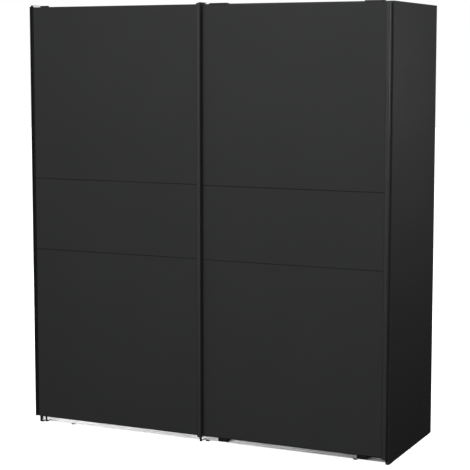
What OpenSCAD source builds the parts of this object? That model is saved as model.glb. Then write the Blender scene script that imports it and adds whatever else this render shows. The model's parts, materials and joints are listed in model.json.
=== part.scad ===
// Two-door sliding wardrobe with overlay doors hung from a double track.
// The front faces -Y and +Z is up. The carcass is drawn with its front edges at y = 0
// and moved as a whole, so that the origin lies under the middle of the whole object.

/* [Overall size] */
// Width over the two side panels
carcass_w = 1700; // [1400:10:2200]
// Height of the side panels' top edges above the floor
carcass_h = 1905; // [1700:5:2300]
// Depth of the carcass from its front edges to the back of the back panels
carcass_d = 580; // [480:5:680]

/* [Boards] */
// Thickness of the carcass boards, shelves and door boards
board_t = 16; // [15:1:22]
// Thickness of the back panels
back_t = 3; // [3:0.5:6]
// Height of the bottom panel's underside above the floor
bottom_lift = 13; // [12:1:30]
// Height of the nail-on glides under the side panels
side_glide_h = 3; // [2:0.5:6]
// Drop of the top panel's upper face below the side panels' top edges
top_drop = 37; // [36:1:50]

/* [Doors] */
// Overlap of the two doors in the middle
door_overlap = 12; // [6:1:60]
// Distance from each side panel's outer face to the nearest door edge
door_inset = 7; // [2:1:12]
// Gap between the carcass front and the rear door
rear_gap = 6; // [5:0.5:10]
// Gap between the two doors
door_gap = 7; // [6:0.5:12]
// Height of the lower field of each door
field_low = 775; // [500:5:900]
// Height of the middle field of each door
field_mid = 321; // [150:1:500]
// Drop of the front door's top edge below the side panels' top edges
front_door_drop = 2; // [1:0.5:3]
// Drop of the rear door's top edge below the front door's
rear_door_drop = 5; // [4:0.5:8]
// Height of the front door's bottom edge above the floor
front_door_lift = 43; // [40:1:60]
// Visible width of the grooves between the fields
groove_w = 2.5; // [1.5:0.5:6]
// Free travel left between a door and the end of its lane
travel_margin = 4; // [3:1:12]

/* [Handle profiles] */
// Width of the profile's edge channel
handle_w = 12; // [10:1:16]
// Width of the raised grip lip
lip_w = 8; // [7:1:10]
// Height of the grip lip in front of the door board
lip_h = 5; // [4:0.5:5.5]
// Width of the flat flange that laps over the board
flange_w = 18; // [14:1:24]
// Thickness of the lapping flange
flange_t = 1.5; // [1:0.25:2]
// Wall thickness of the edge channel
handle_wall = 2; // [1.5:0.25:2.5]
// Length by which a closing-side handle passes the board's bottom edge
handle_tail = 8; // [4:1:10]
// Length by which a front door handle passes the board's top edge
handle_rise = 2; // [0:0.5:3]

/* [Running gear] */
// Width of a hanging bracket
bracket_w = 80; // [60:2:110]
// Distance from the rear door's edge to the middle of a bracket
bracket_inset = 76; // [60:1:140]
// Outer radius of the grooved rollers
roller_r = 12; // [11:0.5:12.5]
// Radius at the bottom of a roller's groove
groove_r = 9.5; // [8.5:0.25:10]
// Width of a roller
roller_w = 9; // [8:0.5:9.5]
// Width of the groove in a roller
roller_groove_w = 5; // [4.5:0.25:6]
// Radius of the roller axles
axle_r = 3; // [2:0.25:3.5]
// Radial clearance between an axle and its bores
axle_clear = 0.05; // [0.02:0.01:0.1]
// Gap between a roller's groove and the track's bead
run_gap = 0.3; // [0.2:0.05:0.5]

/* [Guides] */
// Width of a rear door guide shoe
shoe_w = 45; // [30:1:60]
// Distance from the rear door's edge to the middle of a guide shoe
shoe_inset = 105; // [70:1:150]
// Thickness of the guide tongues
tongue_t = 2.6; // [2:0.1:2.8]
// Clearance of a guide tongue in its slot, above and below
tongue_clear = 0.4; // [0.3:0.05:0.6]

/* [Interior] */
// Height of the hat shelf's upper face above the bottom panel
hat_shelf_h = 1520; // [1100:5:1560]
// Height of the lowest loose shelf's upper face above the bottom panel
shelf_first = 420; // [250:5:460]
// Pitch of the loose shelves
shelf_pitch = 380; // [250:5:420]
// Setback of the shelves from the carcass front
shelf_setback = 30; // [20:1:120]
// Clearance at each end of a shelf
shelf_clear = 1; // [0.5:0.5:2]
// Radius of the shelf pins
pin_r = 2.5; // [1.5:0.25:3]
// Height of the clothes rail's oval tube
rail_tube_h = 30; // [25:1:35]
// Width of the clothes rail's oval tube
rail_tube_w = 15; // [12:1:18]
// Wall thickness of the clothes rail
rail_tube_wall = 1.5; // [1:0.25:2]

/* [Hidden] */

$fn = 48;
graphite = "#33363a";
inner_grey = "#c9c9c6";
bare_metal = "#b9bcbf";
black_plastic = "#17181a";

// Carcass planes
half_w = carcass_w / 2;
inner_x = half_w - board_t;
board_back = carcass_d - back_t;
bottom_top = bottom_lift + board_t;
top_top = carcass_h - top_drop;
top_under = top_top - board_t;
bay_w = inner_x - board_t / 2;

// Door planes, as y of the back faces, and door edges
rear_back = -rear_gap;
front_back = rear_back - board_t - door_gap;
door_w = (carcass_w - 2 * door_inset + door_overlap) / 2;
front_top = carcass_h - front_door_drop;
rear_top = front_top - rear_door_drop;
door_h = front_top - front_door_lift;
rear_lift = rear_top - door_h;
left_x0 = -half_w + door_inset;
right_x0 = half_w - door_inset - door_w;
front_most = front_back - board_t - lip_h;
// The front door's guide and the rear door's handle both stay clear of the side panels
travel = door_w - handle_w - travel_margin - lip_w;

// Double track on the top panel
track_base_t = 2;
track_wall_t = 2;
bead_w = 4;
bead_h = 3;
rear_lane_y = 15;
front_lane_y = 47;
track_depth = 64;
track_rib_y = 30;
track_rib_h = 12;
track_back_h = 16;
roller_z = top_top + track_base_t + bead_h + groove_r + run_gap;
cheek_t = 2.5;
cheek_gap = 1;
cheek_y = roller_w / 2 + cheek_gap;
cheek_drop = 7;
axle_len = 2 * (cheek_y + cheek_t) + 1;
plate_t = 3;
bridge_t = 2.8;
bridge_clear = 0.7;
bridge_z = carcass_h + bridge_clear;
bracket_tail = 62;
// The front door's arms cross above the rear door's brackets
arm_t = 2.2;
arm_clear = 0.7;
arm_z = bridge_z + bridge_t + arm_clear;
arm_w = 7;
carriage_w = 44;
rear_cheek_w = bracket_w / 2;
front_cheek_w = carriage_w - 12;

// Two-slot guide rail in front of the bottom panel
guide_rail_d = 10;
guide_lip_t = 2;
guide_wall_t = 1;
guide_rib_t = 2;
cavity_h = (board_t - 2 * guide_wall_t - guide_rib_t) / 2;
slot_h = tongue_t + 2 * tongue_clear;
front_slot_z = bottom_lift + guide_wall_t + cavity_h / 2;
rear_slot_z = front_slot_z + cavity_h + guide_rib_t;
head_h = cavity_h - 1;
head_t = 4.5;
head_y = guide_lip_t + 0.5;
shoe_z = front_slot_z + tongue_t / 2 + 2.5;

// Handle interior for the stems of the front door's arms
stem_w = handle_w - 2 * handle_wall - 1;
stem_d = board_t - 2 * handle_wall - 4;
stem_len = 60;
stem_y = front_back - handle_wall - 2 - stem_d;

// Fittings
cam_r = 7.5;
cam_h = 12.5;
cam_in = 34;
cam_clear = 0.05;
bolt_r = 3.5;
bolt_tip = 3;
bolt_clear = 0.25;
thread_r = 2.5;
thread_len = 11;
dowel_r = 4;
dowel_half = 14;
panel_dowel_depth = 12;
dowel_end = 1;
fitting_y = [70, 480];
dowel_shift = 40;
pin_clear = 0.05;
pin_hole_depth = board_t / 2 - 1;
pin_pitch = 32;
screw_r = 1.75;
screw_head_r = 4;
screw_head_h = 1.6;
screw_clear = 0.2;
// Overshoot of a cut past the face that it opens
over = 1;

module place() {
    back_most = carcass_d + screw_head_h;
    translate([0, -(front_most + back_most) / 2, 0]) children();
}

// Block from its low corner to its high corner
module block(low, high) {
    translate(low) cube(high - low);
}

// Rod of radius r and length len along +X or +Y from a point
module rod_x(at, r, len) {
    translate(at) rotate([0, 90, 0]) cylinder(r = r, h = len);
}
module rod_y(at, r, len) {
    translate(at) rotate([-90, 0, 0]) cylinder(r = r, h = len);
}

// Pan-head screw driven along -Z, with the underside of its head at the origin
module screw(len) {
    cylinder(r = screw_head_r, h = screw_head_h);
    translate([0, 0, -len]) cylinder(r = screw_r, h = len);
}

// ---------------------------------------------------------------- carcass

// Heights of shelf undersides in each bay
hat_z = bottom_top + hat_shelf_h - board_t;
shelf_zs = [for (i = [0:2]) bottom_top + shelf_first + i * shelf_pitch - board_t];
pin_ys = [shelf_setback + 50, board_back - 70];
shelf_back_gap = 4;

// Holes for shelf pins on one face, which looks along dir
module pin_holes(x, dir, zs) {
    for (z = zs, y = pin_ys, step = [-1:1])
        rod_x([dir > 0 ? x - pin_hole_depth : x, y, z - pin_r + step * pin_pitch],
              pin_r + pin_clear, pin_hole_depth);
}

// Blind holes for cam bolts and dowels at one end of the top or bottom panel
module joint_holes(x, dir, z) {
    for (y = fitting_y) {
        rod_x([dir > 0 ? x - thread_len : x, y, z], thread_r + cam_clear, thread_len);
        rod_x([dir > 0 ? x - dowel_half : x, y + dowel_shift, z], dowel_r + cam_clear, dowel_half);
    }
}

module side_panel(side) {
    face = side * inner_x;
    color(graphite) difference() {
        block([side > 0 ? inner_x : -half_w, 0, side_glide_h],
              [side > 0 ? half_w : -inner_x, board_back, carcass_h]);
        joint_holes(face, -side, bottom_lift + board_t / 2);
        joint_holes(face, -side, top_under + board_t / 2);
        if (side > 0) pin_holes(face, -1, shelf_zs);
        else pin_holes(face, 1, [hat_z]);
    }
}
module left_side_panel() { side_panel(-1); }
module right_side_panel() { side_panel(1); }

module centre_partition() {
    color(inner_grey) difference() {
        block([-board_t / 2, 0, bottom_top], [board_t / 2, board_back, top_under]);
        pin_holes(board_t / 2, 1, shelf_zs);
        pin_holes(-board_t / 2, -1, [hat_z]);
        for (y = fitting_y, z = [bottom_top, top_under - dowel_half])
            translate([0, y, z]) cylinder(r = dowel_r + cam_clear, h = dowel_half);
    }
}

// Board between the side panels, drilled for cams, bolts and dowels at both ends
module span_panel(z, front, cam_face) {
    cam_z = cam_face > 0 ? z + board_t - cam_h : z;
    dowel_z = cam_face > 0 ? z + board_t - panel_dowel_depth : z;
    difference() {
        block([-inner_x, front, z], [inner_x, board_back, z + board_t]);
        for (side = [-1, 1], y = fitting_y) {
            translate([side * (inner_x - cam_in), y, cam_z])
                cylinder(r = cam_r + cam_clear, h = cam_h);
            rod_x([side > 0 ? inner_x - cam_in : -inner_x, y, z + board_t / 2],
                  bolt_r + bolt_clear, cam_in);
            rod_x([side > 0 ? inner_x - dowel_half : -inner_x, y + dowel_shift, z + board_t / 2],
                  dowel_r + cam_clear, dowel_half);
        }
        // Dowels of the partition
        for (y = fitting_y)
            translate([0, y, dowel_z]) cylinder(r = dowel_r + cam_clear, h = panel_dowel_depth);
    }
}
module top_panel() { color(graphite) span_panel(top_under, 0, -1); }
module bottom_panel() { color(inner_grey) span_panel(bottom_lift, guide_rail_d, 1); }

module cam_locks() {
    color(bare_metal)
        for (side = [-1, 1], y = fitting_y)
            for (z = [bottom_top - cam_h, top_under])
                translate([side * (inner_x - cam_in), y, z]) difference() {
                    cylinder(r = cam_r, h = cam_h);
                    rod_x([-cam_r - over, 0, z == top_under ? board_t / 2 : cam_h - board_t / 2],
                          bolt_r + bolt_clear, 2 * (cam_r + over));
                }
}

module cam_bolts() {
    color(bare_metal)
        for (z = [bottom_lift, top_under], y = fitting_y) {
            rod_x([inner_x - cam_in + bolt_tip, y, z + board_t / 2], bolt_r, cam_in - bolt_tip);
            rod_x([inner_x, y, z + board_t / 2], thread_r, thread_len - 1);
            rod_x([-inner_x, y, z + board_t / 2], bolt_r, cam_in - bolt_tip);
            rod_x([-inner_x - thread_len + 1, y, z + board_t / 2], thread_r, thread_len - 1);
        }
}

module dowels() {
    color("#c8a878") {
        for (side = [-1, 1], z = [bottom_lift, top_under], y = fitting_y)
            rod_x([side * inner_x - dowel_half + dowel_end, y + dowel_shift, z + board_t / 2],
                  dowel_r, 2 * (dowel_half - dowel_end));
        for (y = fitting_y, low = [bottom_top - panel_dowel_depth, top_under - dowel_half])
            translate([0, y, low + dowel_end])
                cylinder(r = dowel_r, h = dowel_half + panel_dowel_depth - 2 * dowel_end);
    }
}

// Back panels, in two halves of two sheets each, joined by H-shaped strips
back_edge = 2;
back_joint_z = bottom_lift + 930;
back_seam = 0.5;
h_web = 1.5;
h_flange_t = 1;
h_flange_w = 22;

module back_sheet(side, upper) {
    x0 = side > 0 ? back_seam : -half_w + back_edge;
    x1 = side > 0 ? half_w - back_edge : -back_seam;
    z0 = upper ? back_joint_z + h_web / 2 : bottom_lift + back_edge;
    z1 = upper ? top_top : back_joint_z - h_web / 2;
    color(inner_grey) block([x0, board_back, z0], [x1, carcass_d, z1]);
}
module back_panel_lower_left() { back_sheet(-1, false); }
module back_panel_upper_left() { back_sheet(-1, true); }
module back_panel_lower_right() { back_sheet(1, false); }
module back_panel_upper_right() { back_sheet(1, true); }

// Each strip lies between the boards of its bay, so that both flanges clear the edges
module back_joint_strips() {
    color("#d8d8d4")
        for (side = [-1, 1])
            translate([side * (board_t / 2 + bay_w / 2), 0, back_joint_z]) {
                half = bay_w / 2 - 1;
                block([-half, board_back, -h_web / 2], [half, carcass_d, h_web / 2]);
                for (y = [board_back - h_flange_t, carcass_d])
                    block([-half, y, -h_flange_w / 2], [half, y + h_flange_t, h_flange_w / 2]);
            }
}

back_screw_n = 8;
back_screw_len = 17;
back_screw_end = 60;
back_screw_x = board_t / 4 + 0.25;
module back_panel_screws() {
    z_low = bottom_lift + back_screw_end;
    z_step = (top_top - back_screw_end - z_low) / (back_screw_n - 1);
    x_step = bay_w / 3.2;
    color(bare_metal) translate([0, carcass_d, 0]) {
        for (i = [0:back_screw_n - 1], side = [-1, 1], x = [back_screw_x, half_w - board_t / 2])
            translate([side * x, 0, z_low + i * z_step])
                rotate([-90, 0, 0]) screw(back_screw_len);
        for (x = [-1, 1], i = [-1:1], z = [bottom_lift + board_t / 2, top_under + board_t / 2])
            translate([x * inner_x / 2 + i * x_step, 0, z])
                rotate([-90, 0, 0]) screw(back_screw_len);
    }
}

module shelf(side, z) {
    x0 = side > 0 ? board_t / 2 : -inner_x;
    color(inner_grey)
        block([x0 + shelf_clear, shelf_setback, z],
              [x0 + bay_w - shelf_clear, board_back - shelf_back_gap, z + board_t]);
}
module hat_shelf() { shelf(-1, hat_z); }
module shelf_1() { shelf(1, shelf_zs[0]); }
module shelf_2() { shelf(1, shelf_zs[1]); }
module shelf_3() { shelf(1, shelf_zs[2]); }

// Pin with a flat-topped rest under the shelf
module shelf_pin(x, dir, y, z) {
    rest_len = 8;
    collar_t = 2;
    rod_x([dir > 0 ? x - pin_hole_depth + 1 : x - rest_len, y, z - pin_r], pin_r,
          pin_hole_depth - 1 + rest_len);
    translate([dir > 0 ? x : x - collar_t, y, z - pin_r]) rotate([0, 90, 0]) intersection() {
        cylinder(r = 2 * pin_r, h = collar_t);
        block([-pin_r, -2 * pin_r, 0], [2 * pin_r, 2 * pin_r, collar_t]);
    }
}
module shelf_pins() {
    color(bare_metal) for (y = pin_ys) {
        shelf_pin(-inner_x, 1, y, hat_z);
        shelf_pin(-board_t / 2, -1, y, hat_z);
        for (z = shelf_zs) {
            shelf_pin(board_t / 2, 1, y, z);
            shelf_pin(inner_x, -1, y, z);
        }
    }
}

// Oval hanging tube below the hat shelf, in a cup at each end
tube_y = carcass_d / 2;
tube_drop = 60;
tube_z = hat_z - tube_drop;
flange_plate_t = 3;
tube_clear = 0.3;

module oval(w, h) {
    for (s = [-1, 1]) translate([0, s * (h - w) / 2]) circle(d = w);
    square([w, h - w], center = true);
}
module along_bay(x0, len) {
    translate([x0, tube_y, tube_z]) rotate([90, 0, 90]) linear_extrude(len) children();
}
module clothes_rail() {
    color(bare_metal)
        along_bay(-inner_x + flange_plate_t + tube_clear, bay_w - 2 * (flange_plate_t + tube_clear))
            difference() {
                oval(rail_tube_w, rail_tube_h);
                oval(rail_tube_w - 2 * rail_tube_wall, rail_tube_h - 2 * rail_tube_wall);
            }
}
module clothes_rail_flanges() {
    cup_wall = 2;
    cup_len = 14;
    rim_w = 6;
    rim_h = 10;
    cup_w = rail_tube_w + 2 * (tube_clear + cup_wall);
    cup_h = rail_tube_h + 2 * (tube_clear + cup_wall);
    color(bare_metal) {
        for (x = [-inner_x, -board_t / 2 - flange_plate_t])
            along_bay(x, flange_plate_t) oval(cup_w + 2 * rim_w, cup_h + 2 * rim_h);
        for (x = [-inner_x + flange_plate_t, -board_t / 2 - flange_plate_t - cup_len])
            along_bay(x, cup_len) difference() {
                oval(cup_w, cup_h);
                oval(rail_tube_w + 2 * tube_clear, rail_tube_h + 2 * tube_clear);
            }
    }
}

// ---------------------------------------------------------------- track and rail

module top_track() {
    color(graphite) translate([0, 0, top_top]) {
        block([-inner_x, 0, 0], [inner_x, track_depth, track_base_t]);
        block([-inner_x, 0, 0], [inner_x, track_wall_t, top_drop]);
        block([-inner_x, track_rib_y, 0], [inner_x, track_rib_y + track_wall_t, track_rib_h]);
        block([-inner_x, track_depth - track_wall_t, 0], [inner_x, track_depth, track_back_h]);
        for (y = [rear_lane_y, front_lane_y])
            block([-inner_x, y - bead_w / 2, 0], [inner_x, y + bead_w / 2, track_base_t + bead_h]);
    }
}

track_screw_y = track_rib_y - screw_head_r - 0.5;
track_screw_end = 90;
module top_track_screws() {
    color(bare_metal)
        for (i = [-3:3])
            translate([i * (inner_x - track_screw_end) / 3, track_screw_y, top_top + track_base_t])
                screw(12);
}

// Rubber saddles on the beads that catch the brackets' cheeks at both ends of the travel
stop_len = 3;
stop_gap = 1;
stop_h = 12;
module end_stop(x, y) {
    z = top_top + track_base_t;
    difference() {
        block([x, y - cheek_y - cheek_t, z], [x + stop_len, y + cheek_y + cheek_t, z + stop_h]);
        block([x - over, y - bead_w / 2, z - over],
              [x + stop_len + over, y + bead_w / 2, z + bead_h]);
    }
}
module track_end_stops() {
    rear_half = rear_cheek_w / 2 + stop_gap;
    front_half = front_cheek_w / 2 + stop_gap;
    color(black_plastic) {
        end_stop(rear_roller_x[0] - travel - rear_half - stop_len, rear_lane_y);
        end_stop(rear_roller_x[1] + rear_half, rear_lane_y);
        end_stop(front_roller_x[0] - front_half - stop_len, front_lane_y);
        end_stop(front_roller_x[1] + travel + front_half, front_lane_y);
    }
}

module bottom_guide_rail() {
    color(bare_metal) difference() {
        block([-inner_x, 0, bottom_lift], [inner_x, guide_rail_d, bottom_top]);
        for (z = [front_slot_z, rear_slot_z]) {
            block([-inner_x - over, guide_lip_t, z - cavity_h / 2],
                  [inner_x + over, guide_rail_d - guide_lip_t, z + cavity_h / 2]);
            block([-inner_x - over, -over, z - slot_h / 2],
                  [inner_x + over, guide_lip_t + over, z + slot_h / 2]);
        }
    }
}

// ---------------------------------------------------------------- feet and wall brackets

// Glides with a nail each
glide_r = 10;
glide_nail_r = 1.5;
glide_nail_len = 10;
glide_ys = [35, board_back - 45];
glide_edge = half_w - 160;
module floor_glides() {
    color(black_plastic)
        for (x = [-glide_edge, 0, glide_edge], y = glide_ys) translate([x, y, 0]) {
            cylinder(r = glide_r, h = bottom_lift);
            translate([0, 0, bottom_lift]) cylinder(r = glide_nail_r, h = glide_nail_len);
        }
}
side_nail_r = 1;
side_nail_len = 12;
side_glide_end = 40;
module side_glides() {
    color(black_plastic)
        for (side = [-1, 1], y = [side_glide_end, board_back / 2, board_back - side_glide_end])
            translate([side * (half_w - board_t / 2), y, 0]) {
                cylinder(r = board_t / 2 - 1, h = side_glide_h);
                translate([0, 0, side_glide_h]) cylinder(r = side_nail_r, h = side_nail_len);
            }
}

// Angle brackets that hold the wardrobe to a wall
wall_bracket_w = 40;
wall_bracket_leg = 45;
wall_bracket_t = 2;
wall_bracket_x = 500;
wall_hole_r = 3;
wall_bracket_drop = 3;
wall_screw_x = 10;
wall_screw_y = 25;
module wall_bracket(x) {
    color(bare_metal) translate([x, board_back, top_top]) difference() {
        union() {
            block([-wall_bracket_w / 2, -wall_bracket_leg, 0], [wall_bracket_w / 2, back_t, wall_bracket_t]);
            block([-wall_bracket_w / 2, back_t - wall_bracket_t, 0],
                  [wall_bracket_w / 2, back_t, top_drop - wall_bracket_drop]);
        }
        rod_y([0, -over, top_drop / 2], wall_hole_r, back_t + 2 * over);
        for (s = [-1, 1])
            translate([s * wall_screw_x, -wall_screw_y, -over])
                cylinder(r = screw_r + screw_clear, h = wall_bracket_t + 2 * over);
    }
}
module wall_bracket_left() { wall_bracket(-wall_bracket_x); }
module wall_bracket_right() { wall_bracket(wall_bracket_x); }
module wall_bracket_screws() {
    color(bare_metal)
        for (x = [-wall_bracket_x, wall_bracket_x], s = [-1, 1])
            translate([x + s * wall_screw_x, board_back - wall_screw_y, top_top + wall_bracket_t])
                screw(13);
}

// ---------------------------------------------------------------- doors

// A door's own frame: x from its left edge, y forward from its back face, z from its bottom
module front_frame() { translate([left_x0, front_back, front_door_lift]) mirror([0, 1, 0]) children(); }
module rear_frame() { translate([right_x0, rear_back, rear_lift]) mirror([0, 1, 0]) children(); }

strip_lap = 6;
strip_t = 2;
strip_clear = 0.1;
strip_back = 1;
groove_depth = 2;
field_z = [0, field_low, field_low + field_mid, door_h];

// Board of field i, grooved at its joints for the strip's tongue
module door_board(i, left_edge, right_edge) {
    z0 = field_z[i] + (i > 0 ? groove_w / 2 : 0);
    z1 = field_z[i + 1] - (i < 2 ? groove_w / 2 : 0);
    color(graphite) difference() {
        block([left_edge, 0, z0], [door_w - right_edge, board_t, z1]);
        if (i > 0) strip_slot(z0, 1);
        if (i < 2) strip_slot(z1, -1);
    }
}
module strip_slot(z, dir) {
    mid = board_t / 2;
    half = strip_t / 2 + strip_clear;
    reach = strip_lap + strip_clear;
    block([-over, mid - half, dir > 0 ? z - over : z - reach],
          [door_w + over, mid + half, dir > 0 ? z + reach : z + over]);
}
// The two strips of one door, set back in the grooves
module joint_strips(left_edge, right_edge) {
    color(black_plastic)
        for (z = [field_z[1], field_z[2]]) {
            block([left_edge, strip_back, z - groove_w / 2],
                  [door_w - right_edge, board_t - groove_depth, z + groove_w / 2]);
            block([left_edge, board_t / 2 - strip_t / 2, z - groove_w / 2 - strip_lap],
                  [door_w - right_edge, board_t / 2 + strip_t / 2, z + groove_w / 2 + strip_lap]);
        }
}

// Plan section of a handle, x inward from the door's edge: hollow channel, flange and round lip
module handle_section() {
    lip_r = lip_h - 1;
    difference() {
        union() {
            square([handle_w, board_t]);
            translate([0, board_t]) square([flange_w, flange_t]);
            translate([lip_r, board_t]) square([lip_w - lip_r, lip_h]);
            translate([0, board_t - 1]) square([lip_w, 2]);
            translate([lip_r, board_t + 1]) circle(r = lip_r);
        }
        translate([handle_wall, handle_wall])
            square([handle_w - 2 * handle_wall, board_t - 2 * handle_wall]);
    }
}
module handle(tail, rise) {
    color(graphite) translate([0, 0, -tail]) linear_extrude(door_h + tail + rise) handle_section();
}
module handle_right(tail, rise) {
    translate([door_w, 0, 0]) mirror([1, 0, 0]) handle(tail, rise);
}

// The lower board's back has a pocket for the plate of the left guide
module left_door_lower_panel() {
    color(graphite) difference() {
        front_frame() door_board(0, handle_w, handle_w);
        block([left_guide_x - left_plate_w / 2, front_back - left_plate_t, front_door_lift - over],
              [left_guide_x + left_plate_w / 2, front_back + over, front_door_lift + left_plate_h]);
    }
}
module left_door_middle_panel() { front_frame() door_board(1, handle_w, handle_w); }
module left_door_upper_panel() { front_frame() door_board(2, handle_w, handle_w); }
module left_door_joint_strips() { front_frame() joint_strips(handle_w, handle_w); }
module left_door_left_handle() { front_frame() handle(0, handle_rise); }
module left_door_right_handle() { front_frame() handle_right(handle_tail, handle_rise); }

edge_w = 12;
module right_door_lower_panel() { rear_frame() door_board(0, edge_w, handle_w); }
module right_door_middle_panel() { rear_frame() door_board(1, edge_w, handle_w); }
module right_door_upper_panel() { rear_frame() door_board(2, edge_w, handle_w); }
module right_door_joint_strips() { rear_frame() joint_strips(edge_w, handle_w); }
module right_door_right_handle() { rear_frame() handle_right(handle_tail, 0); }
// Plain channel on the hidden edge, with a slot that holds the brush
brush_slot_w = 3;
brush_slot_d = 3;
brush_t = 2;
brush_gap = 0.5;
module right_door_edge_profile() {
    color(graphite) rear_frame() linear_extrude(door_h) difference() {
        square([edge_w, board_t]);
        translate([handle_wall, handle_wall])
            square([edge_w - 2 * handle_wall, board_t - handle_wall - brush_slot_d - 1]);
        translate([edge_w / 2 - brush_slot_w / 2, board_t - brush_slot_d])
            square([brush_slot_w, brush_slot_d + over]);
    }
}
module right_door_brush_seal() {
    color(black_plastic) rear_frame()
        block([edge_w / 2 - brush_t / 2, board_t - brush_slot_d, 0],
              [edge_w / 2 + brush_t / 2, board_t + door_gap - brush_gap, door_h]);
}

// ---------------------------------------------------------------- running gear

// Middles of the rollers along X
rear_roller_x = [right_x0 + bracket_inset, right_x0 + door_w - bracket_inset];
front_arm_x = [left_x0 + handle_w / 2, left_x0 + door_w - handle_w / 2];
// A carriage clears the side panel that its door edge laps over
carriage_side_gap = 1;
carriage_shift = board_t + carriage_side_gap + carriage_w / 2 - door_inset - handle_w / 2;
front_roller_x = [front_arm_x[0] + carriage_shift, front_arm_x[1] - carriage_shift];

// Pair of cheeks around a lane, drilled for the axle
module cheeks(x, y, w, top) {
    difference() {
        for (s = [-1, 1])
            block([x - w / 2, s > 0 ? y + cheek_y : y - cheek_y - cheek_t, roller_z - cheek_drop],
                  [x + w / 2, s > 0 ? y + cheek_y + cheek_t : y - cheek_y, top]);
        rod_y([x, y - axle_len / 2 - over, roller_z], axle_r + axle_clear, axle_len + 2 * over);
    }
}

// Bracket on the rear door's back face that reaches over the track's front wall
hanger_screw_x = 26;
hanger_screw_drops = [16, 40];
module rear_hanger(x) {
    notch_w = 6;
    notch_pitch = 24;
    notch_d = 1.4;
    plate_top = bridge_z + bridge_t;
    color(black_plastic) {
        difference() {
            block([x - bracket_w / 2, rear_back, rear_top - bracket_tail],
                  [x + bracket_w / 2, rear_back + plate_t, plate_top]);
            for (s = [-1, 1], drop = hanger_screw_drops)
                rod_y([x + s * hanger_screw_x, rear_back - over, rear_top - drop],
                      screw_r + screw_clear, plate_t + 2 * over);
            // Notches along the upper edge
            for (i = [-1:1])
                block([x + i * notch_pitch - notch_w / 2, rear_back - over, plate_top - notch_d],
                      [x + i * notch_pitch + notch_w / 2, rear_back + plate_t / 2, plate_top + over]);
        }
        block([x - bracket_w / 2, rear_back + plate_t, bridge_z],
              [x + bracket_w / 2, rear_lane_y + cheek_y + cheek_t, plate_top]);
        cheeks(x, rear_lane_y, rear_cheek_w, bridge_z + 1);
    }
}
module right_door_left_hanger() { rear_hanger(rear_roller_x[0]); }
module right_door_right_hanger() { rear_hanger(rear_roller_x[1]); }

// Arm from the front door's hollow handle over the rear door's brackets to its own lane
wall_t = 2;
drop_y = rear_lane_y + cheek_y + cheek_t + 2;
carriage_top = carcass_h - 2;
module front_hanger(i) {
    x = front_arm_x[i];
    rx = front_roller_x[i];
    x0 = min(x - arm_w / 2, rx - carriage_w / 2);
    x1 = max(x + arm_w / 2, rx + carriage_w / 2);
    in0 = i == 0 ? rx - carriage_w / 2 : x0;
    in1 = i == 0 ? x1 : rx + carriage_w / 2;
    color(black_plastic) {
        block([x - stem_w / 2, stem_y, front_top - stem_len],
              [x + stem_w / 2, stem_y + stem_d, arm_z + arm_t]);
        block([x - arm_w / 2, stem_y + stem_d - 1, arm_z], [x + arm_w / 2, drop_y + wall_t, arm_z + arm_t]);
        block([x0, drop_y, arm_z], [x1, drop_y + wall_t, arm_z + arm_t]);
        block([in0, drop_y, carriage_top - wall_t], [in1, drop_y + wall_t, arm_z + arm_t]);
        block([rx - carriage_w / 2, drop_y, carriage_top - wall_t],
              [rx + carriage_w / 2, front_lane_y + cheek_y + cheek_t, carriage_top]);
        cheeks(rx, front_lane_y, front_cheek_w, carriage_top - 1);
    }
}
module left_door_left_hanger() { front_hanger(0); }
module left_door_right_hanger() { front_hanger(1); }

// Grooved roller, drawn as one turned section about its axle
module roller(x, y) {
    color("#d9d9d5") translate([x, y, roller_z]) rotate([90, 0, 0])
        rotate_extrude() difference() {
            translate([axle_r + axle_clear, -roller_w / 2])
                square([roller_r - axle_r - axle_clear, roller_w]);
            translate([groove_r, -roller_groove_w / 2]) square([roller_r, roller_groove_w]);
        }
}
module left_door_left_roller() { roller(front_roller_x[0], front_lane_y); }
module left_door_right_roller() { roller(front_roller_x[1], front_lane_y); }
module right_door_left_roller() { roller(rear_roller_x[0], rear_lane_y); }
module right_door_right_roller() { roller(rear_roller_x[1], rear_lane_y); }

module axles(xs, y) {
    color(bare_metal) for (x = xs) rod_y([x, y - axle_len / 2, roller_z], axle_r, axle_len);
}
module left_door_roller_axles() { axles(front_roller_x, front_lane_y); }
module right_door_roller_axles() { axles(rear_roller_x, rear_lane_y); }

// ---------------------------------------------------------------- guides

// Tongue from y0 back to the rail, with a head inside the slot's cavity
module tongue(x, y0, z, w) {
    block([x - w / 2, y0, z - tongue_t / 2], [x + w / 2, head_y + head_t, z + tongue_t / 2]);
    block([x - w / 2, head_y, z - head_h / 2], [x + w / 2, head_y + head_t, z + head_h / 2]);
}

shoe_t = 12;
module rear_guide(x) {
    shoe_back = rear_back - 2;
    color(black_plastic) {
        block([x - shoe_w / 2, shoe_back - shoe_t, shoe_z], [x + shoe_w / 2, shoe_back, rear_lift]);
        tongue(x, shoe_back - 1, rear_slot_z, shoe_w - 10);
    }
}
module right_door_left_guide() { rear_guide(right_x0 + shoe_inset); }
module right_door_right_guide() { rear_guide(right_x0 + door_w - shoe_inset); }

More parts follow.
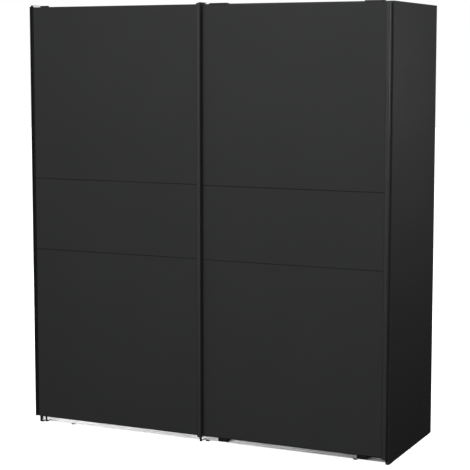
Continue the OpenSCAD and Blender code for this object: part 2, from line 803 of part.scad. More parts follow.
// The left guide is let into the door's back, inboard of the side panel
left_guide_x = left_x0 + 48;
left_plate_w = 20;
left_plate_h = 70;
left_plate_t = 4;
left_plate_screws = [20, 50];
module left_door_left_guide() {
    x = left_guide_x;
    color(black_plastic) {
        difference() {
            block([x - left_plate_w / 2, front_back - left_plate_t, front_door_lift],
                  [x + left_plate_w / 2, front_back, front_door_lift + left_plate_h]);
            for (z = left_plate_screws) {
                rod_y([x, front_back - left_plate_t - over, front_door_lift + z],
                      screw_r + screw_clear, left_plate_t + 2 * over);
                rod_y([x, front_back - screw_head_h, front_door_lift + z],
                      screw_head_r + screw_clear, screw_head_h + over);
            }
        }
        block([x - arm_w / 2, front_back - left_plate_t, front_slot_z - tongue_t / 2],
              [x + arm_w / 2, front_back, front_door_lift]);
        tongue(x, front_back - 1, front_slot_z, arm_w);
    }
}
module left_door_right_guide() {
    x = front_arm_x[1];
    color(black_plastic) {
        block([x - stem_w / 2, stem_y, front_slot_z - tongue_t / 2],
              [x + stem_w / 2, stem_y + stem_d, front_door_lift + stem_len]);
        tongue(x, stem_y + 1, front_slot_z, arm_w);
    }
}

module left_door_screws() {
    color(bare_metal) {
        // Two in the left guide's plate, flush with the door's back
        for (z = left_plate_screws)
            translate([left_guide_x, front_back - screw_head_h, front_door_lift + z])
                rotate([-90, 0, 0]) screw(10);
    }
}
module right_door_screws() {
    color(bare_metal) for (x = rear_roller_x, s = [-1, 1], drop = hanger_screw_drops)
        translate([x + s * hanger_screw_x, rear_back + plate_t, rear_top - drop])
            rotate([-90, 0, 0]) screw(14);
}

place() left_side_panel();
place() right_side_panel();
place() centre_partition();
place() top_panel();
place() bottom_panel();
place() back_panel_lower_left();
place() back_panel_upper_left();
place() back_panel_lower_right();
place() back_panel_upper_right();
place() back_joint_strips();
place() back_panel_screws();
place() hat_shelf();
place() shelf_1();
place() shelf_2();
place() shelf_3();
place() shelf_pins();
place() clothes_rail();
place() clothes_rail_flanges();
place() top_track();
place() top_track_screws();
place() track_end_stops();
place() bottom_guide_rail();
place() cam_locks();
place() cam_bolts();
place() dowels();
place() floor_glides();
place() side_glides();
place() wall_bracket_left();
place() wall_bracket_right();
place() wall_bracket_screws();
place() left_door_lower_panel();
place() left_door_middle_panel();
place() left_door_upper_panel();
place() left_door_joint_strips();
place() left_door_left_handle();
place() left_door_right_handle();
place() left_door_left_hanger();
place() left_door_right_hanger();
place() left_door_roller_axles();
place() left_door_left_guide();
place() left_door_right_guide();
place() left_door_screws();
place() right_door_lower_panel();
place() right_door_middle_panel();
place() right_door_upper_panel();
place() right_door_joint_strips();
place() right_door_right_handle();
place() right_door_edge_profile();
place() right_door_brush_seal();
place() right_door_left_hanger();
place() right_door_right_hanger();
place() right_door_roller_axles();
place() right_door_left_guide();
place() right_door_right_guide();
place() right_door_screws();
place() left_door_left_roller();
place() left_door_right_roller();
place() right_door_left_roller();
place() right_door_right_roller();
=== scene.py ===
"""Looks of the sliding door wardrobe: materials, detailed small pieces, floor, light and camera."""
import json
import math
import random

import bmesh
import bpy
from mathutils import Euler, Matrix, Vector


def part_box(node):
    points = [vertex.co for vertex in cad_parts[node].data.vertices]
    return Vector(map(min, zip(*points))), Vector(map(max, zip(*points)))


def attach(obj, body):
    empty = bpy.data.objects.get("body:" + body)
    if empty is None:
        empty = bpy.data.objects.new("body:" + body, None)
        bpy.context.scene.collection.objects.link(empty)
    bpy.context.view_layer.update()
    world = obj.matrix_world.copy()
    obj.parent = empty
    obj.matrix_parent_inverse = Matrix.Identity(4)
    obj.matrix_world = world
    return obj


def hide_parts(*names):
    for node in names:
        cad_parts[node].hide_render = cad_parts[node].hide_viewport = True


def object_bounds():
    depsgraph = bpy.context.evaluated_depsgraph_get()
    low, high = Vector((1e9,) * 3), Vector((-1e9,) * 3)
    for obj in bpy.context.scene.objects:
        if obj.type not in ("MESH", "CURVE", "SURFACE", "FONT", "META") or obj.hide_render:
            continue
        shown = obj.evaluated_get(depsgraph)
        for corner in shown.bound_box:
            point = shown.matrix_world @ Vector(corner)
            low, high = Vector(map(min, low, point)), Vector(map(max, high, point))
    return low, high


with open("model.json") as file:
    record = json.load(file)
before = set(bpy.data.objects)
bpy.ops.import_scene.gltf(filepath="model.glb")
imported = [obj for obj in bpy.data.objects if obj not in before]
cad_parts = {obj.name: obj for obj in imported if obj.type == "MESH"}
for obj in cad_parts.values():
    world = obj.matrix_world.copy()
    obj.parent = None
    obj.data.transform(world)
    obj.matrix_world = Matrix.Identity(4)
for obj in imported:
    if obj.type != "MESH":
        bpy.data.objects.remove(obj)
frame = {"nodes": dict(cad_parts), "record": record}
CAD_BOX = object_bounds()
SLOTS = {part["node"]: part["material_slot"] for part in frame["record"]["subparts"]}
MM = 0.001
X, Y, Z = range(3)

# Camera, with the place and aim of the reference view
CAMERA_AT = (2.703, -5.726, 1.664)
CAMERA_TURN_DEG = 25.08
CAMERA_DOWN_DEG = 6.04
CAMERA_LENS = 108.85
CAMERA_SENSOR = 36
CAMERA_SHIFT_Y = -0.05
CAMERA_REACH = 100

# Surface colours, linear. A pair is the two ends of what the surface varies between.
GRAPHITE = (0.0300, 0.0305, 0.0310)
GRAPHITE_METAL = (0.0330, 0.0335, 0.0340)
DECOR = (0.52, 0.52, 0.50)
HARDBOARD = (0.235, 0.150, 0.085)
BLACK = (0.010, 0.010, 0.0105)
ALUMINIUM = ((0.78, 0.78, 0.785), (0.9, 0.9, 0.905))
CHROME = ((0.74, 0.745, 0.76), (0.82, 0.825, 0.83))
ZINC = ((0.52, 0.545, 0.58), (0.68, 0.685, 0.67))
STRIP_GREY = ((0.6, 0.6, 0.58), (0.67, 0.67, 0.65))
NYLON = ((0.6, 0.585, 0.54), (0.72, 0.71, 0.67))
RUBBER = ((0.013, 0.013, 0.013), (0.028, 0.028, 0.028))
PILE = ((0.012, 0.012, 0.013), (0.05, 0.05, 0.052))
BEECH = ((0.42, 0.25, 0.12), (0.62, 0.42, 0.24))
BEECH_FLECK = (0.24, 0.12, 0.05)
FLOOR_WHITE = (0.86, 0.86, 0.86)

# Boards: the depth of a face's colour, the edge band, the dark joint's inner edge, the rounded edge
SKIN = 0.2 * MM
EDGE_BAND = 0.8 * MM
BAND_JOINT = 1.05 * MM
BOARD_ROUND = 0.7 * MM

# Handle profiles: the flange over the board, and the painted shadow line along its edge
FLANGE_W = 18 * MM
FLANGE_SHADOW_W = 1.4 * MM

# Screws: how far a head stands out
SCREW_HEAD_H = 1.6 * MM


# ---------------------------------------------------------------- materials

class Surface:
    """A Principled material whose textures follow the piece's own coordinates, in metres.

    roughness is the plain value, for where no texture varies it.
    """

    def __init__(self, name, roughness, metallic=0.0, specular=0.5):
        self.material = bpy.data.materials.new(name)
        self.material.use_nodes = True
        self.nodes = self.material.node_tree.nodes
        self.links = self.material.node_tree.links
        self.shader = self.nodes["Principled BSDF"]
        self.shader.inputs["Roughness"].default_value = roughness
        self.shader.inputs["Metallic"].default_value = metallic
        self.shader.inputs["Specular IOR Level"].default_value = specular
        self.point = self.nodes.new("ShaderNodeTexCoord").outputs["Object"]

    def texture(self, kind, scale, stretch=(1, 1, 1)):
        """A texture node with `scale` features a metre, drawn out along the axes by `stretch`."""
        mapping = self.nodes.new("ShaderNodeMapping")
        mapping.inputs["Scale"].default_value = [scale / s for s in stretch]
        texture = self.nodes.new(kind)
        texture.inputs["Scale"].default_value = 1.0
        self.links.new(self.point, mapping.inputs["Vector"])
        self.links.new(mapping.outputs["Vector"], texture.inputs["Vector"])
        return texture

    def noise(self, scale, detail, stretch=(1, 1, 1)):
        """Noise, with `detail` finer octaves."""
        texture = self.texture("ShaderNodeTexNoise", scale, stretch)
        texture.inputs["Detail"].default_value = detail
        return texture.outputs["Fac"]

    def cells(self, scale):
        """Distance to the nearest point of a scatter."""
        return self.texture("ShaderNodeTexVoronoi", scale).outputs["Distance"]

    def feed(self, value, socket):
        """Links a socket, or sets a plain number or colour."""
        if isinstance(value, bpy.types.NodeSocket):
            self.links.new(value, socket)
        elif hasattr(socket.default_value, "__len__"):
            socket.default_value = (*value, 1.0)[: len(socket.default_value)]
        else:
            socket.default_value = value

    def math(self, operation, *values):
        """A Math node on sockets or plain numbers."""
        node = self.nodes.new("ShaderNodeMath")
        node.operation = operation
        for socket, value in zip(node.inputs, values):
            self.feed(value, socket)
        return node.outputs[0]

    def spread(self, factor, low, high, start=0.3, end=0.7):
        """Maps factor from start..end, where most of a noise lies, to low..high."""
        node = self.nodes.new("ShaderNodeMapRange")
        for name, value in zip(("From Min", "From Max", "To Min", "To Max"), (start, end, low, high)):
            node.inputs[name].default_value = value
        self.links.new(factor, node.inputs["Value"])
        return node.outputs["Result"]

    def mix(self, factor, first, second):
        """A colour between first and second, by the Mix node's colour sockets."""
        node = self.nodes.new("ShaderNodeMix")
        node.data_type = "RGBA"
        self.feed(factor, node.inputs[0])
        self.feed(first, node.inputs[6])
        self.feed(second, node.inputs[7])
        return node.outputs[2]

    def tint(self, texture, first, second):
        """A colour that varies between first and second with a texture."""
        return self.mix(self.spread(texture, 0, 1), first, second)

    def axis(self, index):
        """One coordinate of the piece's own point."""
        node = self.nodes.new("ShaderNodeSeparateXYZ")
        self.links.new(self.point, node.inputs[0])
        return node.outputs[index]

    def away(self, index, place):
        """Distance along one axis from a place on it."""
        return self.math("ABSOLUTE", self.math("SUBTRACT", self.axis(index), place))

    def beyond(self, index, limit, side=1):
        """1 where the coordinate lies past limit on that side, else 0."""
        return self.math("GREATER_THAN" if side > 0 else "LESS_THAN", self.axis(index), limit)

    def color(self, value):
        """Sets the surface's own colour."""
        self.feed(value, self.shader.inputs["Base Color"])

    def roughness(self, texture, low, high):
        """Varies the roughness between low and high with a texture."""
        self.feed(self.spread(texture, low, high), self.shader.inputs["Roughness"])

    def bump(self, height, depth, strength):
        """Relief of `depth` metres, added to what is there."""
        node = self.nodes.new("ShaderNodeBump")
        node.inputs["Strength"].default_value = strength
        node.inputs["Distance"].default_value = depth
        self.links.new(height, node.inputs["Height"])
        below = self.shader.inputs["Normal"]
        if below.is_linked:
            self.links.new(below.links[0].from_socket, node.inputs["Normal"])
        self.links.new(node.outputs["Normal"], below)


def shade(color, factor):
    """color, darker or lighter by a factor."""
    return tuple(c * factor for c in color)


def pearl_color(surface):
    """Graphite melamine tint with a faint cloud and a fine speckle."""
    cloud = surface.noise(scale=3.5, detail=3)
    speckle = surface.noise(scale=1400, detail=1)
    tint = surface.tint(cloud, shade(GRAPHITE, 0.97), shade(GRAPHITE, 1.03))
    return surface.mix(surface.spread(speckle, low=0, high=0.22), tint, shade(GRAPHITE, 1.7))


def pearl_relief(surface):
    """Pearl-structured melamine: pits of half a millimetre, with a mottled gloss."""
    surface.roughness(surface.noise(scale=60, detail=3), low=0.44, high=0.54)
    surface.bump(surface.noise(scale=1800, detail=2), depth=0.05 * MM, strength=0.35)
    surface.bump(surface.noise(scale=420, detail=1), depth=0.06 * MM, strength=0.25)


def linen_threads(surface):
    """The level and the upright threads of the linen decor."""
    level = surface.noise(scale=1500, detail=1, stretch=(30, 30, 1))
    upright = surface.noise(scale=1500, detail=1, stretch=(1, 1, 30))
    return level, upright


def linen_color(surface):
    """Cross-woven linen print of the carcass interior."""
    weave = surface.math("MULTIPLY", surface.math("ADD", *linen_threads(surface)), 0.5)
    crossing = surface.spread(weave, low=0, high=1, start=0.4, end=0.6)
    return surface.mix(crossing, shade(DECOR, 0.86), shade(DECOR, 1.05))


def edge_distance(surface, node):
    """Distance from the nearest edge of the board's large face, in metres."""
    low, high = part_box(node)
    size = high - low
    thin = min(range(3), key=lambda i: size[i])
    nearest = None
    for i in range(3):
        if i == thin:
            continue
        off = surface.away(i, (low[i] + high[i]) / 2)
        inside = surface.math("SUBTRACT", size[i] / 2, off)
        nearest = inside if nearest is None else surface.math("MINIMUM", nearest, inside)
    return nearest


def banded(surface, node):
    """Graphite melamine, with a paler edge band and the dark hairline where the two meet."""
    distance = edge_distance(surface, node)
    joint = surface.math("LESS_THAN", distance, BAND_JOINT)
    band = surface.math("LESS_THAN", distance, EDGE_BAND)
    face = surface.mix(joint, pearl_color(surface), shade(GRAPHITE, 0.5))
    return surface.mix(band, face, shade(GRAPHITE, 1.12))


def graphite_board(node):
    """Graphite melamine board with bands on its edges."""
    surface = Surface("graphite_board_" + node, roughness=0.5, specular=0.35)
    surface.color(banded(surface, node))
    pearl_relief(surface)
    return surface.material


def carcass_board(node, axis, inner_plane, side):
    """Board with graphite melamine outside, and linen decor on the face that looks into the bay."""
    surface = Surface("two_faced_board_" + node, roughness=0.5, specular=0.35)
    above_foot = surface.beyond(Z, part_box("bottom_panel")[0].z)
    under_top = surface.beyond(Z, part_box("top_panel")[1].z - SKIN, side=-1)
    in_bay = surface.math("MULTIPLY", above_foot, under_top)
    shown = surface.math("MULTIPLY", surface.beyond(axis, inner_plane, side), in_bay)
    surface.color(surface.mix(shown, banded(surface, node), linen_color(surface)))
    pearl_relief(surface)
    return surface.material


def interior_board():
    """Board with the linen decor on every face, its threads raised."""
    surface = Surface("linen_decor_board", roughness=0.55, specular=0.4)
    surface.color(linen_color(surface))
    surface.roughness(surface.noise(scale=80, detail=3), low=0.48, high=0.6)
    for thread in linen_threads(surface):
        surface.bump(thread, depth=0.04 * MM, strength=0.4)
    return surface.material


def back_sheet():
    """Hardboard: raw brown behind, printed with the decor towards the bay."""
    surface = Surface("hardboard_sheet", roughness=0.8, specular=0.3)
    fibre = surface.noise(scale=700, detail=4, stretch=(6, 1, 2))
    cloud = surface.noise(scale=14, detail=4)
    raw = surface.tint(fibre, shade(HARDBOARD, 0.72), shade(HARDBOARD, 1.25))
    raw = surface.mix(surface.spread(cloud, low=0, high=0.5), raw, shade(HARDBOARD, 0.8))
    behind = surface.beyond(Y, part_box("back_panel_lower_left")[0].y + SKIN)
    surface.color(surface.mix(behind, linen_color(surface), raw))
    surface.roughness(surface.noise(scale=120, detail=2), low=0.68, high=0.88)
    surface.bump(fibre, depth=0.12 * MM, strength=0.5)
    return surface.material


def powder_coat(name):
    """Powder-coated aluminium, with the coat's fine orange peel. Gives the surface and its tint."""
    surface = Surface(name, roughness=0.4)
    cloud = surface.noise(scale=9, detail=2)
    tint = surface.tint(cloud, shade(GRAPHITE_METAL, 0.95), shade(GRAPHITE_METAL, 1.06))
    surface.color(tint)
    surface.roughness(surface.noise(scale=70, detail=3), low=0.34, high=0.44)
    surface.bump(surface.noise(scale=900, detail=1), depth=0.05 * MM, strength=0.4)
    surface.bump(surface.noise(scale=3200, detail=1), depth=0.02 * MM, strength=0.3)
    return surface, tint


def handle_profile(node):
    """Powder coat with a painted shadow line where the flange laps over the board: a band darkened to a
    tenth, also sunk by a shallow bump.
    """
    surface, tint = powder_coat("handle_" + node)
    low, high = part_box(node)
    shadow_in = FLANGE_W - FLANGE_SHADOW_W / 2
    shadow_x = low.x + shadow_in if node.endswith("left_handle") else high.x - shadow_in
    off = surface.away(X, shadow_x)
    unshaded_face = surface.spread(off, low=0.1, high=1.0, start=0.4 * FLANGE_SHADOW_W, end=0.8 * FLANGE_SHADOW_W)
    # painted shade: the band at the flange's edge is darkened to a tenth of the coat's tint
    surface.color(surface.mix(unshaded_face, shade(GRAPHITE_METAL, 0.1), tint))
    surface.bump(unshaded_face, depth=0.5 * MM, strength=0.6)
    return surface.material


def plain_profile():
    """Powder coat without a seam."""
    return powder_coat("graphite_powder_coat")[0].material


def aluminium_rail():
    """Satin anodised extrusion with draw lines along X."""
    surface = Surface("satin_anodised_aluminium", roughness=0.36, metallic=0.9)
    lines = surface.noise(scale=2600, detail=3, stretch=(400, 1, 1))
    surface.color(surface.tint(lines, *ALUMINIUM))
    surface.roughness(surface.noise(scale=300, detail=2, stretch=(90, 1, 1)), low=0.3, high=0.46)
    surface.bump(lines, depth=0.02 * MM, strength=0.35)
    return surface.material


def chromed_tube():
    """Bright chrome with faint wiping marks along X."""
    surface = Surface("polished_chrome", roughness=0.09, metallic=1.0)
    smear = surface.noise(scale=22, detail=4, stretch=(6, 1, 1))
    surface.color(surface.tint(smear, *CHROME))
    surface.roughness(surface.noise(scale=160, detail=3, stretch=(12, 1, 1)), low=0.06, high=0.16)
    fine_lines = surface.noise(scale=2400, detail=1, stretch=(60, 1, 1))
    surface.bump(fine_lines, depth=0.004 * MM, strength=0.3)
    return surface.material


def zinc_steel():
    """Zinc plate with its cloudy, slightly blue passivation."""
    surface = Surface("zinc_plated_steel", roughness=0.32, metallic=1.0)
    surface.color(surface.tint(surface.noise(scale=180, detail=4), *ZINC))
    surface.roughness(surface.noise(scale=500, detail=3), low=0.24, high=0.42)
    surface.bump(surface.noise(scale=1600, detail=2), depth=0.02 * MM, strength=0.35)
    return surface.material


def black_steel():
    """Pressed steel with a black satin dip coat."""
    surface = Surface("black_coated_steel", roughness=0.38)
    cloud = surface.noise(scale=140, detail=3)
    surface.color(surface.tint(cloud, shade(BLACK, 0.8), shade(BLACK, 1.5)))
    surface.roughness(surface.noise(scale=260, detail=3), low=0.3, high=0.46)
    surface.bump(surface.noise(scale=1300, detail=2), depth=0.03 * MM, strength=0.4)
    return surface.material


def black_plastic():
    """Moulded plastic with a spark-eroded grain."""
    surface = Surface("black_moulded_plastic", roughness=0.5, specular=0.45)
    cloud = surface.noise(scale=90, detail=2)
    surface.color(surface.tint(cloud, shade(BLACK, 0.9), shade(BLACK, 1.35)))
    surface.roughness(surface.noise(scale=500, detail=2), low=0.42, high=0.58)
    surface.bump(surface.cells(scale=2600), depth=0.03 * MM, strength=0.4)
    return surface.material


def light_plastic():
    """Pale grey strip, extruded along X."""
    surface = Surface("light_grey_strip_plastic", roughness=0.42, specular=0.45)
    cloud = surface.noise(scale=40, detail=2, stretch=(20, 1, 1))
    surface.color(surface.tint(cloud, *STRIP_GREY))
    surface.roughness(surface.noise(scale=300, detail=2, stretch=(20, 1, 1)), low=0.36, high=0.5)
    fine_lines = surface.noise(scale=2200, detail=1, stretch=(50, 1, 1))
    surface.bump(fine_lines, depth=0.015 * MM, strength=0.35)
    return surface.material


def roller_nylon():
    """Cream nylon, faintly translucent, with its grain along the axle."""
    surface = Surface("cream_nylon", roughness=0.42)
    surface.shader.inputs["Subsurface Weight"].default_value = 0.12
    surface.shader.inputs["Subsurface Scale"].default_value = 1.5 * MM
    grain = surface.noise(scale=900, detail=3, stretch=(1, 6, 1))
    surface.color(surface.tint(grain, *NYLON))
    surface.roughness(surface.noise(scale=700, detail=2), low=0.34, high=0.5)
    surface.bump(grain, depth=0.02 * MM, strength=0.4)
    return surface.material


def rubber_stop():
    """Dull black rubber."""
    surface = Surface("black_rubber", roughness=0.8, specular=0.25)
    surface.color(surface.tint(surface.noise(scale=400, detail=3), *RUBBER))
    surface.roughness(surface.noise(scale=300, detail=2), low=0.7, high=0.9)
    surface.bump(surface.noise(scale=1500, detail=3), depth=0.05 * MM, strength=0.5)
    return surface.material


def brush_pile():
    """Dark bristles that run along Y."""
    surface = Surface("dark_brush_pile", roughness=0.75, specular=0.2)
    surface.shader.inputs["Sheen Weight"].default_value = 0.5
    strands = surface.noise(scale=2500, detail=2, stretch=(1, 6, 1))
    surface.color(surface.tint(strands, *PILE))
    surface.roughness(strands, low=0.65, high=0.85)
    return surface.material


def beech_dowel():
    """Beech, with its short dark flecks along the grain."""
    surface = Surface("beech", roughness=0.6, specular=0.35)
    rings = surface.noise(scale=260, detail=4, stretch=(9, 1, 1))
    fleck = surface.noise(scale=1200, detail=1, stretch=(12, 1, 1))
    flecked = surface.spread(fleck, low=0, high=0.6, start=0.55, end=0.75)
    surface.color(surface.mix(flecked, surface.tint(rings, *BEECH), BEECH_FLECK))
    surface.roughness(rings, low=0.52, high=0.7)
    surface.bump(fleck, depth=0.05 * MM, strength=0.5)
    return surface.material


# One material for each slot whose pieces all look alike
PLAIN = {
    "interior_board": interior_board(),
    "graphite_profile": plain_profile(),
    "aluminium_rail": aluminium_rail(),
    "chromed_tube": chromed_tube(),
    "zinc_steel": zinc_steel(),
    "black_steel": black_steel(),
    "black_plastic": black_plastic(),
    "light_plastic": light_plastic(),
    "roller_nylon": roller_nylon(),
    "rubber_stop": rubber_stop(),
    "brush_pile": brush_pile(),
    "beech_dowel": beech_dowel(),
    "back_sheet": back_sheet(),
}


def node_material(node):
    """The material of a CAD node, from its name and its slot in the record."""
    low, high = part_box(node)
    if node == "left_side_panel":
        return carcass_board(node, X, high.x - SKIN, side=1)
    if node == "right_side_panel":
        return carcass_board(node, X, low.x + SKIN, side=-1)
    if node == "top_panel":
        return carcass_board(node, Z, low.z + SKIN, side=-1)
    if node.endswith("_handle"):
        return handle_profile(node)
    if SLOTS[node] == "graphite_board":
        return graphite_board(node)
    return PLAIN[SLOTS[node]]


def clothe(node):
    """Gives a CAD node its material."""
    piece = frame["nodes"][node]
    piece.data.materials.clear()
    piece.data.materials.append(node_material(node))


for name in frame["nodes"]:
    clothe(name)


# ---------------------------------------------------------------- softened edges

def soften(node):
    """Rounds a board's sharp edges by a little, so that they catch the light."""
    piece = frame["nodes"][node]
    weld = piece.modifiers.new("weld", "WELD")
    weld.merge_threshold = 0.001 * MM
    bevel = piece.modifiers.new("soften", "BEVEL")
    bevel.width = BOARD_ROUND
    bevel.segments = 2
    bevel.limit_method = "ANGLE"
    bevel.angle_limit = math.radians(50)
    bevel.use_clamp_overlap = False


SHELVES = ["hat_shelf", "shelf_1", "shelf_2", "shelf_3"]
OUTER_BOARDS = [node for node, slot in SLOTS.items() if slot == "graphite_board" and node != "top_panel"]
for name in OUTER_BOARDS + SHELVES:
    soften(name)


# ---------------------------------------------------------------- detailed small pieces

def solids(node):
    """Low and high corner of each separate solid of a CAD node.

    Vertices in one place, to a micrometre, are one corner, and a face joins its corners.
    """
    mesh = frame["nodes"][node].data
    digits = 6
    corner = {}
    index = [corner.setdefault(tuple(round(c, digits) for c in v.co), len(corner)) for v in mesh.vertices]
    parent = list(range(len(corner)))

    def root(i):
        while parent[i] != i:
            parent[i] = parent[parent[i]]
            i = parent[i]
        return i

    for face in mesh.polygons:
        first = root(index[face.vertices[0]])
        for v in face.vertices[1:]:
            parent[root(index[v])] = first
    groups = {}
    for place, i in corner.items():
        groups.setdefault(root(i), []).append(place)
    boxes = []
    for places in groups.values():
        along = list(zip(*places))
        boxes.append((Vector([min(c) for c in along]), Vector([max(c) for c in along])))
    return boxes


def turned(profile, sides):
    """A closed turned form about Z as a bmesh, from (radius, height) points, bottom to top."""
    form = bmesh.new()
    turn = [2 * math.pi * i / sides for i in range(sides)]
    rings = []
    for radius, height in profile:
        places = [(radius * math.cos(a), radius * math.sin(a), height) for a in turn]
        if radius == 0:
            places = places[:1]
        rings.append([form.verts.new(place) for place in places])
    for lower, upper in zip(rings, rings[1:]):
        for i in range(sides):
            j = (i + 1) % sides
            around = [lower[i % len(lower)], lower[j % len(lower)]]
            around += [upper[j % len(upper)], upper[i % len(upper)]]
            corners = list(dict.fromkeys(around))
            if len(corners) > 2:
                form.faces.new(corners)
    bmesh.ops.recalc_face_normals(form, faces=form.faces)
    return form


def bar(form, size, middle):
    """Adds a box to a bmesh."""
    made = bmesh.ops.create_cube(form, size=1)["verts"]
    bmesh.ops.scale(form, vec=size, verts=made)
    bmesh.ops.translate(form, vec=middle, verts=made)


def finished_mesh(form, name):
    """A mesh from a bmesh, which is freed."""
    mesh = bpy.data.meshes.new(name)
    form.to_mesh(mesh)
    form.free()
    return mesh


def placed(name, data):
    """A new object, linked into the scene."""
    thing = bpy.data.objects.new(name, data)
    bpy.context.scene.collection.objects.link(thing)
    return thing


def stand_in(name, form, node, body):
    """A piece made from a bmesh, in place of a CAD node."""
    piece = placed(name, finished_mesh(form, name))
    piece.data.materials.append(PLAIN[SLOTS[node]])
    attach(piece, body)
    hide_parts(node)


def cut(mesh, cutter):
    """mesh with cutter taken away, as a new mesh."""
    blank = placed("blank", mesh)
    tool = placed("tool", cutter)
    boolean = blank.modifiers.new("cut", "BOOLEAN")
    boolean.object = tool
    boolean.operation = "DIFFERENCE"
    boolean.solver = "EXACT"
    bpy.context.view_layer.update()
    evaluated = blank.evaluated_get(bpy.context.evaluated_depsgraph_get())
    result = bpy.data.meshes.new_from_object(evaluated)
    for thing in (blank, tool):
        bpy.data.objects.remove(thing)
    return result


def crossed(reach, width, depth, top):
    """A cross-shaped cutter, from a little above top down to depth below it."""
    form = bmesh.new()
    spare = 2 * MM
    height = depth + spare
    for size in ((2 * reach, width, height), (width, 2 * reach, height)):
        bar(form, size, (0, 0, top - depth + height / 2))
    return finished_mesh(form, "cross")


def screw_mesh(length):
    """Pan-head screw with a cross recess, along Z with the underside of its head at 0."""
    head_r = 3.95 * MM
    rim_h = 0.35 * MM
    shank_r = 1.75 * MM
    core_r = 1.3 * MM
    pitch = 1.3 * MM
    point_r = 0.5 * MM
    point_h = 0.9 * MM
    first_thread = 1.6 * MM
    unthreaded = 3.5 * MM
    dome_steps = 6
    profile = [(0, -length), (point_r, point_h - length)]
    for i in range(int((length - unthreaded) / pitch)):
        z = first_thread - length + i * pitch
        profile += [(core_r, z), (shank_r, z + pitch / 2)]
    profile += [(core_r, profile[-1][1] + pitch / 2), (core_r, 0), (head_r, 0), (head_r, rim_h)]
    for i in range(1, dome_steps):
        angle = i / dome_steps * math.pi / 2
        profile.append((head_r * math.cos(angle), rim_h + (SCREW_HEAD_H - rim_h) * math.sin(angle)))
    profile.append((0, SCREW_HEAD_H))
    body = finished_mesh(turned(profile, sides=24), "screw_body")
    return cut(body, crossed(reach=1.9 * MM, width=0.75 * MM, depth=1.0 * MM, top=SCREW_HEAD_H))


def cam_mesh(radius, height):
    """Cam barrel with a chamfered rim, a sunk face and a cross slot, along Z with its top at 0."""
    rim = 0.5 * MM
    sink = 0.4 * MM
    sunk_r = radius - 1.3 * MM
    profile = [(0, -height), (radius - rim, -height), (radius, -height + rim), (radius, -rim)]
    profile += [(radius - rim, 0), (radius - 2 * rim, 0), (sunk_r, -sink), (0, -sink)]
    body = finished_mesh(turned(profile, sides=40), "cam_body")
    return cut(body, crossed(reach=4.2 * MM, width=1.3 * MM, depth=3.2 * MM, top=0))


def scattered(name, mesh, places, node, body):
    """One piece made of copies of a mesh, in place of a CAD node."""
    form = bmesh.new()
    for place in places:
        start = len(form.verts)
        form.from_mesh(mesh)
        form.verts.ensure_lookup_table()
        bmesh.ops.transform(form, matrix=place, verts=form.verts[start:])
    stand_in(name, form, node, body)


def screws(node, body, axis):
    """Detailed screws where a node's plain ones are, with their heads towards +Y or +Z."""
    draw = random.Random(node)
    stand = Matrix.Rotation(math.radians(-90), 4, "X") if axis == Y else Matrix.Identity(4)
    boxes = solids(node)
    length = max(high[axis] - low[axis] for low, high in boxes) - SCREW_HEAD_H
    places = []
    for low, high in boxes:
        seat = (low + high) / 2
        seat[axis] = high[axis] - SCREW_HEAD_H
        turn = Matrix.Rotation(draw.uniform(0, math.pi), 4, "Z")
        places.append(Matrix.Translation(seat) @ stand @ turn)
    scattered(node + "_cross_head", screw_mesh(length), places, node, body)


def cams():
    """Cam barrels, with their slotted faces towards the bays: up at the foot, down at the top."""
    node = "cam_locks"
    boxes = solids(node)
    half_height = (CAD_BOX[0].z + CAD_BOX[1].z) / 2
    size = boxes[0][1] - boxes[0][0]
    slot_turn = Matrix.Rotation(math.radians(45), 4, "Z")
    places = []
    for low, high in boxes:
        middle = (low + high) / 2
        face_up = middle.z < half_height
        face = Vector((middle.x, middle.y, high.z if face_up else low.z))
        flip = Matrix.Identity(4) if face_up else Matrix.Rotation(math.pi, 4, "X")
        places.append(Matrix.Translation(face) @ flip @ slot_turn)
    scattered("cam_locks_slotted", cam_mesh(size.x / 2, size.z), places, node, "carcass")


def brush():
    """Brush seal: a backing strip with rows of leaning tufts."""
    node = "right_door_brush_seal"
    low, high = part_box(node)
    middle = (low + high) / 2
    draw = random.Random(7)
    backing = 1.6 * MM
    step = 2.2 * MM
    tuft_r = 0.55 * MM
    tuft_rise = 1.6 * tuft_r
    root_y = high.y - backing
    tip_y = low.y + 0.3 * MM
    first_z = low.z + 0.8 * step
    turn = [math.radians(45 + 90 * k) for k in range(4)]
    form = bmesh.new()
    bar(form, (high.x - low.x, backing, high.z - low.z), (middle.x, high.y - backing / 2, middle.z))
    for i in range(int((high.z - low.z) / step) - 1):
        for x in (low.x + tuft_r, middle.x, high.x - tuft_r):
            z = first_z + step * i + draw.uniform(-0.4, 0.4) * MM
            lean = draw.uniform(-0.4, 0.4) * MM
            short = draw.uniform(0, 0.5) * MM
            droop = draw.uniform(-0.7, 0.7) * MM
            tip = form.verts.new((x + lean, tip_y + short, z + droop))
            places = [(x + tuft_r * math.cos(a), root_y, z + tuft_rise * math.sin(a)) for a in turn]
            base = [form.verts.new(place) for place in places]
            for k in range(4):
                form.faces.new((base[k], base[(k + 1) % 4], tip))
            form.faces.new(base[::-1])
    bmesh.ops.recalc_face_normals(form, faces=form.faces)
    stand_in("right_door_brush_tufts", form, node, "door_right")


screws("back_panel_screws", "carcass", Y)
screws("top_track_screws", "carcass", Z)
screws("wall_bracket_screws", "carcass", Z)
screws("left_door_screws", "door_left", Y)
screws("right_door_screws", "door_right", Y)
cams()
brush()


# ---------------------------------------------------------------- floor, light and camera

def floor():
    """A wide pale disc under the wardrobe. It glows, but lights nothing and isn't reflected."""
    form = bmesh.new()
    bmesh.ops.create_circle(form, cap_ends=True, radius=30.0, segments=96)
    piece = placed("studio_floor", finished_mesh(form, "studio_floor"))
    surface = Surface("pale_floor", roughness=0.9, specular=0.1)
    surface.color(FLOOR_WHITE)
    surface.shader.inputs["Emission Color"].default_value = (1, 1, 1, 1)
    surface.shader.inputs["Emission Strength"].default_value = 1.0
    piece.data.materials.append(surface.material)
    piece.visible_diffuse = False
    piece.visible_glossy = False


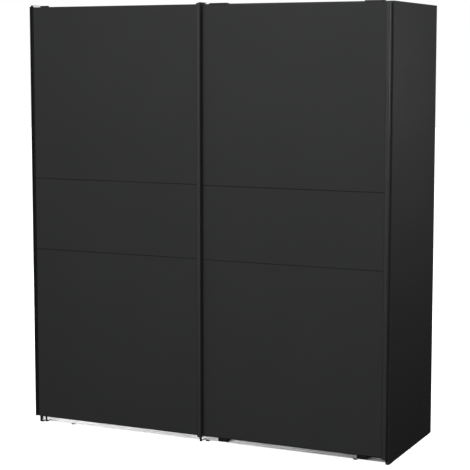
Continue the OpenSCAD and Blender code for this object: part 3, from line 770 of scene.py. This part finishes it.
def soft_world(overhead, horizon, below):
    """White to the camera. To surfaces it is a soft dome with these three grey levels."""
    world = bpy.data.worlds.new("studio")
    world.use_nodes = True
    bpy.context.scene.world = world
    nodes, links = world.node_tree.nodes, world.node_tree.links
    nodes.clear()
    place = nodes.new("ShaderNodeTexCoord")
    split = nodes.new("ShaderNodeSeparateXYZ")
    ramp = nodes.new("ShaderNodeValToRGB")
    rise = nodes.new("ShaderNodeMapRange")
    rise.inputs["From Min"].default_value = -1
    links.new(place.outputs["Generated"], split.inputs[0])
    links.new(split.outputs["Z"], rise.inputs["Value"])
    links.new(rise.outputs["Result"], ramp.inputs["Fac"])
    stops = ramp.color_ramp.elements
    stops.new(0.5)
    for stop, height, level in zip(stops, (0.35, 0.5, 1.0), (below, horizon, overhead)):
        stop.position = height
        stop.color = (level, level, level, 1)
    dome = nodes.new("ShaderNodeBackground")
    white = nodes.new("ShaderNodeBackground")
    white.inputs["Color"].default_value = (1, 1, 1, 1)
    choose = nodes.new("ShaderNodeMixShader")
    sight = nodes.new("ShaderNodeLightPath")
    out = nodes.new("ShaderNodeOutputWorld")
    links.new(ramp.outputs["Color"], dome.inputs["Color"])
    links.new(sight.outputs["Is Camera Ray"], choose.inputs[0])
    links.new(dome.outputs[0], choose.inputs[1])
    links.new(white.outputs[0], choose.inputs[2])
    links.new(choose.outputs[0], out.inputs["Surface"])


def softbox(name, at, target, size, power, reflected=True):
    """A large lamp, `size` wide and high, aimed at a point. It may be left out of reflections."""
    data = bpy.data.lights.new(name, "AREA")
    data.shape = "RECTANGLE"
    data.size, data.size_y = size
    data.energy = power
    lamp = placed(name, data)
    lamp.location = at
    lamp.rotation_euler = (Vector(target) - Vector(at)).to_track_quat("-Z", "Y").to_euler()
    lamp.visible_camera = False
    lamp.visible_glossy = reflected
    return lamp


def only_on(lamp, nodes):
    """Lets a lamp fall on a few nodes alone."""
    lit = bpy.data.collections.new(lamp.name + "_falls_on")
    for node in nodes:
        lit.objects.link(frame["nodes"][node])
    lamp.light_linking.receiver_collection = lit


def leave_out(lamp, node):
    """Keeps a lamp off one node."""
    only_on(lamp, [node])
    lamp.light_linking.receiver_collection.collection_objects[0].light_linking.link_state = "EXCLUDE"


def lights():
    """Front, side and back softboxes, and two cards for the rail and the lit handles' lips.

    The strong front box isn't reflected, so that the doors stay matt. The weak one gives their sheen.
    """
    doors = (0.1, -0.3, 1.4)
    front = softbox("front_box", at=(0.5, -4.6, 2.6), target=doors, size=(2.6, 2.0), power=143,
                    reflected=False)
    leave_out(front, "left_door_left_handle")
    softbox("front_sheen", at=(-0.9, -4.6, 2.7), target=doors, size=(2.6, 2.0), power=20)
    softbox("side_box", at=(2.15, 0.1, 1.7), target=(0.85, 0.1, 1.7), size=(0.8, 0.8), power=13)
    softbox("back_box", at=(-2.6, 3.8, 2.6), target=(-0.2, 0.2, 1.0), size=(2.0, 2.0), power=90)
    rail_card = softbox("rail_card", at=(-0.8, -1.2, 0.1), target=(-0.35, -0.27, 0.02),
                        size=(1.6, 0.2), power=11)
    only_on(rail_card, ["bottom_guide_rail"])
    lip_card = softbox("lip_card", at=(-0.6, -2.6, 1.0), target=(0.4, -0.3, 0.95),
                       size=(0.5, 1.8), power=2.4)
    only_on(lip_card, ["left_door_right_handle", "right_door_right_handle"])


def camera():
    """The scene's camera, at the reference view."""
    data = bpy.data.cameras.new("view")
    data.lens = CAMERA_LENS
    data.sensor_width = CAMERA_SENSOR
    data.shift_y = CAMERA_SHIFT_Y
    data.clip_end = CAMERA_REACH
    viewer = placed("view", data)
    viewer.location = CAMERA_AT
    viewer.rotation_euler = Euler((math.radians(90 - CAMERA_DOWN_DEG), 0, math.radians(CAMERA_TURN_DEG)))
    bpy.context.scene.camera = viewer


floor()
soft_world(overhead=0.68, horizon=0.03, below=0.0)
lights()
camera()
bpy.context.scene.view_settings.view_transform = "Standard"

bpy.context.view_layer.update()
